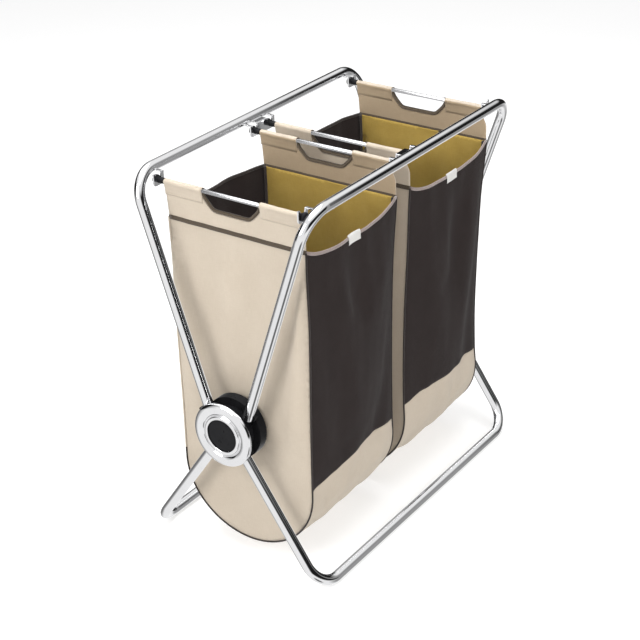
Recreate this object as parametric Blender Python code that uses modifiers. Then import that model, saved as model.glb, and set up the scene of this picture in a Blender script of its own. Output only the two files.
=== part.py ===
"""Laundry cart: two canvas bags hung on rods in a folding X frame of chromed tube.

Metres, +Z up, feet on Z = 0. X runs along the cart, -Y is its front.
"""

import math

import bmesh
import bpy
from mathutils import Matrix, Vector

# Tube frame
TUBE_R = 0.0105
TUBE_WALL = 0.0012
BEND_R = 0.055
# A flat of the tube's section faces the floor, so its middle is a little closer to the floor than its radius
FLAT_TURN = math.radians(0.77)
FLOOR_RAIL_Z = 0.01029
RAIL_Z = 0.7795
RAIL_Y = 0.190
FLOOR_Y = 0.206
REAR_LOOP_X = 0.367
FRONT_LOOP_X = 0.357
UPPER_LEAN = math.radians(18.5)
LOWER_LEAN = math.radians(34.5)

# Hubs, measured along X from the cart's middle and as radii about the pivot
PIVOT_Z = 0.298
DISC_IN = 0.3270
DISC_OUT = 0.3500
DISC_R = 0.064
HOUSING_IN = 0.3503
HOUSING_OUT = 0.3800
HOUSING_R = 0.048
LUG_REACH = 0.062
LUG_WIDTH = 0.028
RING_IN = 0.3803
RING_OUT = 0.3895
RING_R = 0.066
RING_BORE_R = 0.036
BUTTON_R = 0.0355
BUTTON_IN = 0.3835
BUTTON_OUT = 0.3870
BOLT_R = 0.006
SLIP = 0.0003

# Bags
BAG_X = (-0.1735, 0.1735)
BAG_NAMES = ("left_bag", "right_bag")
ROD_SPREAD = 0.1485
ROD_Z = 0.761
ROD_R = 0.004
SLEEVE_R = 0.007
SLEEVE_BORE_R = 0.0046
CLOTH = 0.0025
BAG_HALF_DEPTH = 0.1565
BAG_MID_Y = -0.0045
HEADER_HALF = 0.152
HEADER_LOW_Z = 0.735
SIDE_TOP_Z = 0.690
FRONT_TOP_Z = 0.685
SEAM_Z = 0.200
BELLY_Z = 0.190
BOTTOM_Z = 0.041
HANDLE_TOP = 0.064
HANDLE_LOW = 0.037
HANDLE_Z = 0.727
LINING = 0.0010

# Rod caps and the notched plates they rest in, as distances from the middle plane
NECK_R = 0.0058
KNOB_R = 0.009
NECK_START = 0.1530
REAR_KNOB = (0.1695, 0.1775)
FRONT_KNOB = (0.1580, 0.1660)
REAR_PLATE = (0.1660, 0.1690)
FRONT_PLATE = (0.1545, 0.1575)
PLATE_REACH = 0.1802
PLATE_HALF = 0.0145
PLATE_LOW = 0.7505
PLATE_TOP = 0.775
NOTCH_R = 0.0061
NOTCH_MOUTH = 0.0088

for old in list(bpy.data.objects):
    bpy.data.objects.remove(old, do_unlink=True)

cart = bpy.data.collections.new("laundry_cart")
bpy.context.scene.collection.children.link(cart)
cutters = bpy.data.collections.new("cutters")
bpy.context.scene.collection.children.link(cutters)


def material(name, colour, roughness, metallic=0.0):
    """A Principled material."""
    made = bpy.data.materials.new(name)
    made.use_nodes = True
    shader = made.node_tree.nodes["Principled BSDF"]
    shader.inputs["Base Color"].default_value = (*colour, 1.0)
    shader.inputs["Roughness"].default_value = roughness
    shader.inputs["Metallic"].default_value = metallic
    made.diffuse_color = (*colour, 1.0)
    return made


CHROME = material("chrome", (0.78, 0.79, 0.80), 0.08, 1.0)
STEEL = material("steel", (0.60, 0.61, 0.62), 0.25, 1.0)
BLACK = material("black_plastic", (0.012, 0.012, 0.013), 0.35)
CANVAS = material("canvas", (0.67, 0.58, 0.46), 0.85)
DARK = material("dark_canvas", (0.030, 0.023, 0.023), 0.80)
GOLD = material("lining", (0.33, 0.22, 0.05), 0.75)
WHITE = material("label_white", (0.80, 0.79, 0.76), 0.60)


def finish_mesh(bm, name, skin, place=None):
    """Turns a bmesh into a named object in the cart's collection, with normals facing out."""
    bmesh.ops.remove_doubles(bm, verts=bm.verts, dist=1e-6)
    bmesh.ops.recalc_face_normals(bm, faces=bm.faces)
    data = bpy.data.meshes.new(name)
    bm.to_mesh(data)
    bm.free()
    made = bpy.data.objects.new(name, data)
    cart.objects.link(made)
    if skin:
        data.materials.append(skin)
    if place is not None:
        set_origin(made, place)
    return made


def set_origin(piece, place):
    """Moves an object's origin without moving its mesh."""
    piece.data.transform(Matrix.Translation(-Vector(place)))
    piece.location = place


def prism(outline, frame, depth_from, depth_to, name, skin=None):
    """A closed outline of (u, v) points, extruded between two depths. frame gives the u, v and depth directions."""
    u, v, w = (Vector(d) for d in frame)
    bm = bmesh.new()
    near = [bm.verts.new(u * a + v * b + w * depth_from) for a, b in outline]
    far = [bm.verts.new(u * a + v * b + w * depth_to) for a, b in outline]
    bm.faces.new(near)
    bm.faces.new(list(reversed(far)))
    for i, low in enumerate(near):
        j = (i + 1) % len(near)
        bm.faces.new((low, far[i], far[j], near[j]))
    return finish_mesh(bm, name, skin)


YZ_ALONG_X = ((0, 1, 0), (0, 0, 1), (1, 0, 0))
XZ_ALONG_Y = ((1, 0, 0), (0, 0, 1), (0, 1, 0))


def lathe(profile, origin, along, name, skin=None, steps=32):
    """Turns a profile of (radius, distance) points about an axis through origin, with a Screw modifier."""
    axis = Vector(along).normalized()
    turn = Vector((0, 0, 1)).rotation_difference(axis).to_matrix().to_4x4()
    bm = bmesh.new()
    points = [bm.verts.new((r, 0, d)) for r, d in profile]
    for a, b in zip(points, points[1:]):
        bm.edges.new((a, b))
    if profile[0][0] > 1e-9:
        bm.edges.new((points[-1], points[0]))
    data = bpy.data.meshes.new(name)
    bm.to_mesh(data)
    bm.free()
    raw = bpy.data.objects.new(name + "_profile", data)
    cutters.objects.link(raw)
    spin = raw.modifiers.new("turn", "SCREW")
    spin.axis = "Z"
    spin.steps = steps
    spin.render_steps = steps
    spin.use_merge_vertices = True
    spin.merge_threshold = 1e-5
    turned = bpy.data.meshes.new_from_object(raw.evaluated_get(bpy.context.evaluated_depsgraph_get()))
    bpy.data.objects.remove(raw, do_unlink=True)
    turned.transform(Matrix.Translation(Vector(origin)) @ turn)
    bm = bmesh.new()
    bm.from_mesh(turned)
    bpy.data.meshes.remove(turned)
    return finish_mesh(bm, name, skin)


def rod_between(start, end, radius, name, skin=None, steps=16):
    """A plain cylinder from one point to another."""
    start, end = Vector(start), Vector(end)
    profile = [(0.0, 0.0), (radius, 0.0), (radius, (end - start).length), (0.0, (end - start).length)]
    return lathe(profile, start, end - start, name, skin, steps)


def box(low, high, name, skin=None):
    """An axis-aligned box."""
    bm = bmesh.new()
    bmesh.ops.create_cube(bm, size=1.0)
    size = Vector(high) - Vector(low)
    middle = (Vector(high) + Vector(low)) / 2
    bm.transform(Matrix.Translation(middle) @ Matrix.Diagonal((*size, 1.0)))
    return finish_mesh(bm, name, skin)


def combine(piece, other, operation):
    """Applies an exact Boolean with another object, which moves to the cutters."""
    step = piece.modifiers.new(operation.lower(), "BOOLEAN")
    step.operation = operation
    step.solver = "EXACT"
    step.object = other
    bpy.context.view_layer.update()
    made = bpy.data.meshes.new_from_object(piece.evaluated_get(bpy.context.evaluated_depsgraph_get()))
    piece.modifiers.clear()
    bm = bmesh.new()
    bm.from_mesh(made)
    bmesh.ops.remove_doubles(bm, verts=bm.verts, dist=2e-6)
    bmesh.ops.dissolve_degenerate(bm, edges=bm.edges, dist=2e-6)
    bm.to_mesh(piece.data)
    bm.free()
    bpy.data.meshes.remove(made)
    cart.objects.unlink(other)
    cutters.objects.link(other)
    other.hide_render = True
    other.display_type = "WIRE"
    return piece


def add(piece, *others):
    for other in others:
        combine(piece, other, "UNION")
    return piece


def cut(piece, *others):
    for other in others:
        combine(piece, other, "DIFFERENCE")
    return piece


def arc(corner, before, after, radius, steps=8):
    """Points of the bend that rounds a path's corner."""
    inward = (before - corner).normalized()
    onward = (after - corner).normalized()
    half = inward.angle(onward) / 2
    reach = radius / math.tan(half)
    centre = corner + (inward + onward).normalized() * radius / math.sin(half)
    first = corner + inward * reach - centre
    last = corner + onward * reach - centre
    sweep = first.angle(last)
    axis = first.cross(last).normalized()
    return [centre + Matrix.Rotation(sweep * i / steps, 3, axis) @ first for i in range(steps + 1)]


def bent_bar(name, corners, skin, radius=TUBE_R, closed=True):
    """A round bar swept along a path with rounded corners; left open, it is the skin of a tube."""
    points = [corners[0]]
    for before, corner, after in zip(corners, corners[1:], corners[2:]):
        points += arc(corner, before, after, BEND_R)
    points.append(corners[-1])
    path = bpy.data.curves.new(name, "CURVE")
    path.dimensions = "3D"
    path.bevel_depth = radius
    path.bevel_resolution = 6
    path.use_fill_caps = closed
    line = path.splines.new("POLY")
    line.points.add(len(points) - 1)
    for spot, place in zip(line.points, points):
        spot.co = (*place, 1.0)
        spot.tilt = math.copysign(FLAT_TURN, -corners[1][1])
    swept = bpy.data.objects.new(name + "_path", path)
    cutters.objects.link(swept)
    bpy.context.view_layer.update()
    skin_mesh = bpy.data.meshes.new_from_object(swept.evaluated_get(bpy.context.evaluated_depsgraph_get()))
    bpy.data.objects.remove(swept, do_unlink=True)
    bm = bmesh.new()
    bm.from_mesh(skin_mesh)
    bpy.data.meshes.remove(skin_mesh)
    return finish_mesh(bm, name, skin)


def bent_tube(name, corners, skin):
    """A hollow tube along a path with rounded corners, open at both ends."""
    tube = bent_bar(name, corners, skin, closed=False)
    wall = tube.modifiers.new("wall", "SOLIDIFY")
    wall.thickness = TUBE_WALL
    wall.offset = -1
    wall.use_rim = True
    wall.use_even_offset = True
    bpy.context.view_layer.update()
    walled = bpy.data.meshes.new_from_object(tube.evaluated_get(bpy.context.evaluated_depsgraph_get()))
    tube.modifiers.clear()
    bm = bmesh.new()
    bm.from_mesh(walled)
    bm.to_mesh(tube.data)
    bm.free()
    bpy.data.meshes.remove(walled)
    return tube


def leg_line(corner_y, corner_z, lean):
    """A leg in the YZ plane: its unit direction away from the pivot, and its point nearest the pivot."""
    up = 1 if corner_z > PIVOT_Z else -1
    out = Vector((0, math.copysign(math.sin(lean), corner_y), up * math.cos(lean)))
    corner = Vector((0, corner_y, corner_z))
    pivot = Vector((0, 0, PIVOT_Z))
    return out, corner + out * (pivot - corner).dot(out)


def loop_path(loop_x, rail_y, rail_z, lean, start):
    """The corners of a U-shaped tube: a rail and the two legs that run from it to the hubs."""
    out, foot = leg_line(rail_y, rail_z, lean)
    end = foot + out * start
    return [
        Vector((-loop_x, end.y, end.z)),
        Vector((-loop_x, rail_y, rail_z)),
        Vector((loop_x, rail_y, rail_z)),
        Vector((loop_x, end.y, end.z)),
    ]


# Each leg: its rail, its lean and where it starts, counted from its point nearest the pivot
REAR_UPPER = (RAIL_Y, RAIL_Z, UPPER_LEAN, 0.014)
REAR_LOWER = (-FLOOR_Y, FLOOR_RAIL_Z, LOWER_LEAN, 0.020)
FRONT_UPPER = (-RAIL_Y, RAIL_Z, UPPER_LEAN, 0.0470)
FRONT_LOWER = (FLOOR_Y, FLOOR_RAIL_Z, LOWER_LEAN, 0.0500)

bent_tube("rear_top_tube", loop_path(REAR_LOOP_X, *REAR_UPPER), CHROME)
bent_tube("front_floor_tube", loop_path(REAR_LOOP_X, *REAR_LOWER), CHROME)
fold = bpy.data.objects.new("fold_pivot", None)
fold.location = (0, 0, PIVOT_Z)
cart.objects.link(fold)
front_parts = [
    bent_tube("front_top_tube", loop_path(FRONT_LOOP_X, *FRONT_UPPER), CHROME),
    bent_tube("rear_floor_tube", loop_path(FRONT_LOOP_X, *FRONT_LOWER), CHROME),
]


def lug(side, leg, first, last, near, far, name):
    """A block that runs along a leg, first and last counted along it from its point nearest the pivot."""
    out, foot = leg_line(*leg[:3])
    across = Vector((0, -out.z, out.y))
    corners = [
        foot + out * first - across * LUG_WIDTH / 2,
        foot + out * last - across * LUG_WIDTH / 2,
        foot + out * last + across * LUG_WIDTH / 2,
        foot + out * first + across * LUG_WIDTH / 2,
    ]
    return prism([(c.y, c.z) for c in corners], YZ_ALONG_X, side * near, side * far, name)


def leg_bore(side, leg, loop_x, first, name):
    """A cutter for the socket or groove that a leg lies in."""
    out, foot = leg_line(*leg[:3])
    start = Vector((side * loop_x, 0, 0)) + foot + out * first
    return rod_between(start, start + out * 0.12, TUBE_R + SLIP, name, steps=24)


def hub_axis(side, distance):
    return Vector((side * distance, 0, PIVOT_Z))


for side, end_name in ((-1, "left"), (1, "right")):
    outward = (side, 0, 0)
    centre = (0, 0, PIVOT_Z)

    housing = lathe(
        [
            (0.0, HOUSING_IN),
            (HOUSING_R, HOUSING_IN),
            (HOUSING_R, HOUSING_OUT),
            (0.0, HOUSING_OUT),
        ],
        centre, outward, f"{end_name}_hub_housing", BLACK, 32,
    )
    add(
        housing,
        lug(side, REAR_UPPER, 0.015, 0.0560, 0.3530, HOUSING_OUT, "upper_lug"),
        lug(side, REAR_LOWER, 0.015, 0.0610, 0.3530, HOUSING_OUT, "lower_lug"),
    )
    cut(
        housing,
        leg_bore(side, REAR_UPPER, REAR_LOOP_X, REAR_UPPER[3] - SLIP, "upper_socket"),
        leg_bore(side, REAR_LOWER, REAR_LOOP_X, REAR_LOWER[3] - SLIP, "lower_socket"),
        rod_between(hub_axis(side, 0.340), hub_axis(side, 0.3663), BOLT_R + SLIP, "bolt_hole"),
        rod_between(hub_axis(side, 0.3705), hub_axis(side, 0.390), 0.0080, "stem_hole"),
    )

    lathe(
        [
            (RING_BORE_R, RING_IN),
            (RING_R, RING_IN),
            (RING_R, RING_IN + 0.0012),
            (RING_R - 0.0015, RING_IN + 0.0040),
            (RING_R - 0.0055, RING_IN + 0.0068),
            (RING_R - 0.0110, RING_OUT - 0.0006),
            (RING_R - 0.0170, RING_OUT),
            (RING_BORE_R + 0.0075, RING_OUT - 0.0004),
            (RING_BORE_R + 0.0040, RING_OUT - 0.0018),
            (RING_BORE_R + 0.0015, RING_OUT - 0.0045),
        ],
        centre, outward, f"{end_name}_hub_ring", CHROME, 40,
    )

    button = lathe(
        [
            (0.0, 0.3745),
            (0.0074, 0.3745),
            (0.0074, BUTTON_IN),
            (BUTTON_R, BUTTON_IN),
            (BUTTON_R, BUTTON_IN + 0.0016),
            (BUTTON_R - 0.0016, BUTTON_IN + 0.0028),
            (BUTTON_R - 0.0080, BUTTON_OUT - 0.0006),
            (0.0, BUTTON_OUT),
        ],
        centre, outward, f"{end_name}_hub_button", BLACK, 32,
    )
    set_origin(button, hub_axis(side, BUTTON_IN))

    disc = lathe(
        [
            (0.0, DISC_IN),
            (DISC_R - 0.003, DISC_IN),
            (DISC_R, DISC_IN + 0.003),
            (DISC_R, DISC_OUT),
            (0.0, DISC_OUT),
        ],
        centre, outward, f"{end_name}_hub_disc", BLACK, 40,
    )
    add(
        disc,
        lug(side, FRONT_UPPER, 0.0485, 0.0580, 0.3480, FRONT_LOOP_X, "upper_cradle"),
        lug(side, FRONT_LOWER, 0.0510, 0.0620, 0.3480, FRONT_LOOP_X, "lower_cradle"),
    )
    cut(
        disc,
        leg_bore(side, FRONT_UPPER, FRONT_LOOP_X, FRONT_UPPER[3] - SLIP, "upper_groove"),
        leg_bore(side, FRONT_LOWER, FRONT_LOOP_X, FRONT_LOWER[3] - SLIP, "lower_groove"),
        rod_between(hub_axis(side, 0.320), hub_axis(side, 0.360), BOLT_R + SLIP, "bolt_bore"),
        rod_between(hub_axis(side, 0.320), hub_axis(side, 0.3333), 0.0125, "head_recess"),
    )
    front_parts.append(disc)

    lathe(
        [
            (0.0, 0.3275),
            (0.0110, 0.3275),
            (0.0120, 0.3285),
            (0.0120, 0.3328),
            (BOLT_R, 0.3328),
            (BOLT_R, 0.3660),
            (0.0, 0.3660),
        ],
        centre, outward, f"{end_name}_pivot_bolt", STEEL, 24,
    )


def largest_part(piece):
    """Keeps only the biggest of an object's separate bodies."""
    bm = bmesh.new()
    bm.from_mesh(piece.data)
    left = set(bm.verts)
    bodies = []
    while left:
        body = set()
        edge = [left.pop()]
        while edge:
            vert = edge.pop()
            body.add(vert)
            for link in vert.link_edges:
                other = link.other_vert(vert)
                if other in left:
                    left.discard(other)
                    edge.append(other)
        bodies.append(body)
    bodies.sort(key=len)
    for body in bodies[:-1]:
        bmesh.ops.delete(bm, geom=list(body), context="VERTS")
    bm.to_mesh(piece.data)
    bm.free()
    return piece


def notched_plate(name, rods_x, side, plate, loop, skin):
    """A stamped plate that hangs from a rail, with a notch for each rod, and ears that reach the rail."""
    floor_round = 0.006
    low_x, high_x = min(rods_x) - PLATE_HALF, max(rods_x) + PLATE_HALF
    outline = [(low_x, PLATE_LOW + floor_round), (low_x + floor_round, PLATE_LOW)]
    outline += [(high_x - floor_round, PLATE_LOW), (high_x, PLATE_LOW + floor_round)]
    outline.append((high_x, PLATE_TOP))
    for rod_x in sorted(rods_x, reverse=True):
        outline += [(rod_x + NOTCH_MOUTH, PLATE_TOP), (rod_x + NOTCH_R, ROD_Z + 0.003)]
        for i in range(9):
            turn = -math.pi * i / 8
            outline.append((rod_x + NOTCH_R * math.cos(turn), ROD_Z + NOTCH_R * math.sin(turn)))
        outline += [(rod_x - NOTCH_R, ROD_Z + 0.003), (rod_x - NOTCH_MOUTH, PLATE_TOP)]
    outline.append((low_x, PLATE_TOP))
    made = prism(outline, XZ_ALONG_Y, side * plate[0], side * plate[1], name, skin)
    edges = [low_x]
    for rod_x in sorted(rods_x):
        edges += [rod_x - NOTCH_MOUTH, rod_x + NOTCH_MOUTH]
    edges.append(high_x)
    for left, right in zip(edges[::2], edges[1::2]):
        reach = sorted((side * (plate[0] + 0.001), side * PLATE_REACH))
        ear = box((left, reach[0], PLATE_TOP - 0.003), (right, reach[1], PLATE_TOP), "ear")
        add(made, ear)
    if abs(low_x) + abs(high_x) > 0.2:
        bend = bent_bar("rail_clearance", loop_path(*loop), None, TUBE_R + SLIP)
        largest_part(cut(made, bend))
    return made


rod_xs = [x + s * ROD_SPREAD for x in BAG_X for s in (-1, 1)]
plates = (("left", rod_xs[:1]), ("middle", rod_xs[1:3]), ("right", rod_xs[3:]))
for place, rods in plates:
    notched_plate(f"rear_plate_{place}", rods, 1, REAR_PLATE, (REAR_LOOP_X, *REAR_UPPER), CHROME)
    front_parts.append(
        notched_plate(
            f"front_plate_{place}", rods, -1, FRONT_PLATE, (FRONT_LOOP_X, *FRONT_UPPER), CHROME,
        )
    )

for piece in front_parts:
    piece.parent = fold
    piece.matrix_parent_inverse = fold.matrix_basis.inverted()


def belly(half, low, top, steps=20):
    """The U-shaped outline of a bag seen from its end, from the front top round to the rear top."""
    points = [(BAG_MID_Y - half, top)]
    for i in range(steps + 1):
        turn = math.pi + math.pi * i / steps
        points.append((BAG_MID_Y + half * math.cos(turn), BELLY_Z + (BELLY_Z - low) * math.sin(turn)))
    points.append((BAG_MID_Y + half, top))
    return points


def end_panel(name, x):
    """A canvas end: a header with a handle notch and a rod sleeve each side of it, and a rounded foot."""
    top = ROD_Z - 0.0035
    outline = belly(BAG_HALF_DEPTH, BOTTOM_Z, HEADER_LOW_Z)
    outline += [
        (HEADER_HALF, top),
        (HANDLE_TOP, top),
        (HANDLE_TOP - 0.014, HANDLE_Z + 0.009),
        (HANDLE_LOW + 0.004, HANDLE_Z + 0.002),
        (HANDLE_LOW - 0.006, HANDLE_Z),
        (-HANDLE_LOW + 0.006, HANDLE_Z),
        (-HANDLE_LOW - 0.004, HANDLE_Z + 0.002),
        (-HANDLE_TOP + 0.014, HANDLE_Z + 0.009),
        (-HANDLE_TOP, top),
        (-HEADER_HALF, top),
        (-HEADER_HALF, HEADER_LOW_Z + 0.006),
    ]
    panel = prism(outline, YZ_ALONG_X, x - CLOTH / 2, x + CLOTH / 2, name, CANVAS)
    for first, last in ((-HEADER_HALF, -HANDLE_TOP), (HANDLE_TOP, HEADER_HALF)):
        add(panel, rod_between((x, first, ROD_Z), (x, last, ROD_Z), SLEEVE_R, "sleeve"))
    return cut(panel, rod_between((x, -0.2, ROD_Z), (x, 0.2, ROD_Z), SLEEVE_BORE_R, "rod_way"))


def cap(name, x, side, knob):
    """A moulded rod cap: a neck that rests in the plate's notch, and a knob outside it."""
    first, last = knob
    profile = [
        (0.0, last),
        (KNOB_R - 0.0030, last),
        (KNOB_R - 0.0008, last - 0.0010),
        (KNOB_R, last - 0.0032),
        (KNOB_R, first + 0.0016),
        (KNOB_R - 0.0012, first),
        (NECK_R, first),
        (NECK_R, NECK_START),
        (ROD_R + SLIP, NECK_START),
        (ROD_R + SLIP, last - 0.0027),
        (0.0, last - 0.0027),
    ]
    return lathe(profile, (x, 0, ROD_Z), (0, side, 0), name, BLACK, 16)


for bag, middle in zip(BAG_NAMES, BAG_X):
    near, far = middle - ROD_SPREAD, middle + ROD_SPREAD
    pieces = [end_panel(f"{bag}_left_end", near), end_panel(f"{bag}_right_end", far)]
    inner = CLOTH / 2 + SLIP
    for face, side, top in (("front", -1, FRONT_TOP_Z), ("rear", 1, SIDE_TOP_Z)):
        reach = sorted(BAG_MID_Y + side * (BAG_HALF_DEPTH - skin) for skin in (0.0, CLOTH))
        panel = box(
            (near + inner, reach[0], SEAM_Z + SLIP / 2),
            (far - inner, reach[1], top),
            f"{bag}_{face}_panel", DARK,
        )
        pieces.append(panel)

    outer = belly(BAG_HALF_DEPTH, BOTTOM_Z, SEAM_Z - SLIP / 2)
    inside = belly(BAG_HALF_DEPTH - CLOTH, BOTTOM_Z + CLOTH, SEAM_Z - SLIP / 2)
    pieces.append(
        prism(
            outer + inside[::-1], YZ_ALONG_X, near + inner, far - inner,
            f"{bag}_bottom", CANVAS,
        )
    )

    gap = CLOTH + SLIP
    liner_ends = (near + inner, far - inner)
    liner = prism(
        belly(BAG_HALF_DEPTH - gap, BOTTOM_Z + gap, FRONT_TOP_Z - 0.002), YZ_ALONG_X,
        *liner_ends, f"{bag}_lining", GOLD,
    )
    hollow = prism(
        belly(BAG_HALF_DEPTH - gap - LINING, BOTTOM_Z + gap + LINING, FRONT_TOP_Z + 0.02),
        YZ_ALONG_X, liner_ends[0] + LINING, liner_ends[1] - LINING, "hollow",
    )
    pieces.append(cut(liner, hollow))

    label_x = middle - 0.007
    pieces.append(
        box(
            (label_x - 0.020, BAG_MID_Y - BAG_HALF_DEPTH - 0.0012, FRONT_TOP_Z - 0.022),
            (label_x + 0.020, BAG_MID_Y - BAG_HALF_DEPTH - SLIP, FRONT_TOP_Z - 0.001),
            f"{bag}_label", WHITE,
        )
    )

    for end, x in (("left", near), ("right", far)):
        pieces.append(
            rod_between(
                (x, -FRONT_KNOB[1] + 0.003, ROD_Z), (x, REAR_KNOB[1] - 0.003, ROD_Z),
                ROD_R, f"{bag}_{end}_rod", STEEL,
            )
        )
        pieces.append(cap(f"{bag}_{end}_front_cap", x, -1, FRONT_KNOB))
        pieces.append(cap(f"{bag}_{end}_rear_cap", x, 1, REAR_KNOB))

    hanger = bpy.data.objects.new(f"{bag}_lift", None)
    hanger.location = (middle, 0, ROD_Z)
    cart.objects.link(hanger)
    for piece in pieces:
        piece.parent = hanger
        piece.matrix_parent_inverse = hanger.matrix_basis.inverted()

bpy.context.view_layer.update()
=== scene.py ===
import math

import bmesh
import bpy
import numpy as np
from mathutils import Matrix, Vector, noise
from mathutils.geometry import delaunay_2d_cdt


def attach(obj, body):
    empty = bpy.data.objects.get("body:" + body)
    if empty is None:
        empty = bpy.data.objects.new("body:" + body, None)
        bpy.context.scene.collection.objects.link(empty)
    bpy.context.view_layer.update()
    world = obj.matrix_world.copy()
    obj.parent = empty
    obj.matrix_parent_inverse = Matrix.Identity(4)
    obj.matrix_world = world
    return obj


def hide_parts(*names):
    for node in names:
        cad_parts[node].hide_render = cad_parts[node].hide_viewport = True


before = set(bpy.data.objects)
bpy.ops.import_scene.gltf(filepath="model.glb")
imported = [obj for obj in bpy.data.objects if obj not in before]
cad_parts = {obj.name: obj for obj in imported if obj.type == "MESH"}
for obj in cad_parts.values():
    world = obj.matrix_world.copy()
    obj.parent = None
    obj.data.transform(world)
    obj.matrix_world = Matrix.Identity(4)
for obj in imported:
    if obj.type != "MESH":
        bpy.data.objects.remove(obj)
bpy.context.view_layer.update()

# ---- dimensions, as in the CAD
TUBE_R = 0.0105
BEND_R = 0.055
FLOOR_RAIL_Z = 0.01029
RAIL_Z = 0.7795
RAIL_Y = 0.190
FLOOR_Y = 0.206
REAR_LOOP_X = 0.367
FRONT_LOOP_X = 0.357
UPPER_LEAN = math.radians(18.5)
LOWER_LEAN = math.radians(34.5)
PIVOT_Z = 0.298
DISC_IN = 0.3270
DISC_OUT = 0.3500
DISC_R = 0.064
HOUSING_IN = 0.3503
HOUSING_OUT = 0.3800
HOUSING_R = 0.048
RING_IN = 0.3803
RING_OUT = 0.3895
RING_R = 0.066
RING_BORE_R = 0.036
BUTTON_R = 0.0355
BUTTON_IN = 0.3835
BUTTON_OUT = 0.3870
BAG_X = (-0.1735, 0.1735)
ROD_SPREAD = 0.1485
ROD_Z = 0.761
ROD_R = 0.004
BODY_HALF = 0.154
BODY_MID_Y = -0.007
HEADER_HALF = 0.152
HEADER_LOW_Z = 0.735
TOP_Z = 0.692
SEAM_Z = 0.200
BELLY_Z = 0.190
BOTTOM_Z = 0.041
SLEEVE_LOW_Z = 0.736
HANDLE_TOP = 0.064
HANDLE_LOW = 0.037
HANDLE_Z = 0.727
ROD_FROM = -0.1630
ROD_TO = 0.1745
CAPS = (("front", -1, 0.1580, 0.1660), ("rear", 1, 0.1695, 0.1775))
CAP_NECK_IN = 0.1530
PLATE_HALF = 0.0145
PLATE_LOW = 0.7505
PLATE_TOP = 0.775
PLATE_REACH = 0.1802
PLATE_CORNER = 0.006
PLATES = {1: (0.1660, 0.1690), -1: (0.1545, 0.1575)}
EAR_THICK = 0.003
EAR_LIMIT_X = 0.335
NOTCH_R = 0.0061
NOTCH_MOUTH = 0.0088
SOCKET_GAP = 0.0003
SOCKET_DEEP = 0.12
HOUSING_LUG_IN = 0.353
DISC_LUG_IN = 0.348
BOLT_BORE_R = 0.0063
BOLT_RECESS_R = 0.0125
BOLT_RECESS_END = 0.3333
BOLT_R = 0.0056
BOLT_HEAD_R = 0.0116
HEX_R = 0.0052
RIM_CENTRE_R = 0.0545
RIM_HALF = 0.0115
RIM_RISE = 0.0072
LABEL_FROM = -0.027
LABEL_WIDE = 0.040
LABEL_OVER = 0.006
LABEL_LONG = 0.021


# ---- node helpers
def new_material(name):
    made = bpy.data.materials.new(name)
    made.use_nodes = True
    tree = made.node_tree
    return made, tree, tree.nodes["Principled BSDF"]


def feed(tree, made, inputs):
    """Links or sets some of a node's inputs."""
    for key, value in inputs.items():
        if isinstance(value, bpy.types.NodeSocket):
            tree.links.new(value, made.inputs[key])
        else:
            made.inputs[key].default_value = value
    return made


def node(tree, kind, inputs=None, **settings):
    """Adds a node, sets its properties, and sets or links its inputs."""
    made = tree.nodes.new(kind)
    for key, value in settings.items():
        setattr(made, key, value)
    return feed(tree, made, inputs or {})


def math_node(tree, operation, a, b=0.0):
    return node(tree, "ShaderNodeMath", {0: a, 1: b}, operation=operation).outputs[0]


def times(tree, a, b):
    return math_node(tree, "MULTIPLY", a, b)


def plus(tree, a, b):
    return math_node(tree, "ADD", a, b)


def mix_colour(tree, amount, a, b):
    inputs = {"Factor": amount, 6: (*a, 1.0), 7: (*b, 1.0)}
    return node(tree, "ShaderNodeMix", inputs, data_type="RGBA").outputs[2]


def ramp(tree, value, low, high, out_low=0.0, out_high=1.0):
    inputs = {"Value": value, "From Min": low, "From Max": high, "To Min": out_low, "To Max": out_high}
    return node(tree, "ShaderNodeMapRange", inputs).outputs["Result"]


def noise_at(tree, vector, scale, detail=2.0, rough=0.5):
    inputs = {"Vector": vector, "Scale": scale, "Detail": detail, "Roughness": rough}
    return node(tree, "ShaderNodeTexNoise", inputs).outputs["Fac"]


def bump(tree, strength, distance, height, **normal):
    inputs = {"Strength": strength, "Distance": distance, "Height": height}
    return node(tree, "ShaderNodeBump", {**inputs, **normal}).outputs["Normal"]


def stretched(tree, vector, scale):
    return node(tree, "ShaderNodeMapping", {"Vector": vector, "Scale": scale}).outputs["Vector"]


# ---- materials
WEAVE_CONTRAST = 0.35
CLOTH_ROUGH = 0.82


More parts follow.
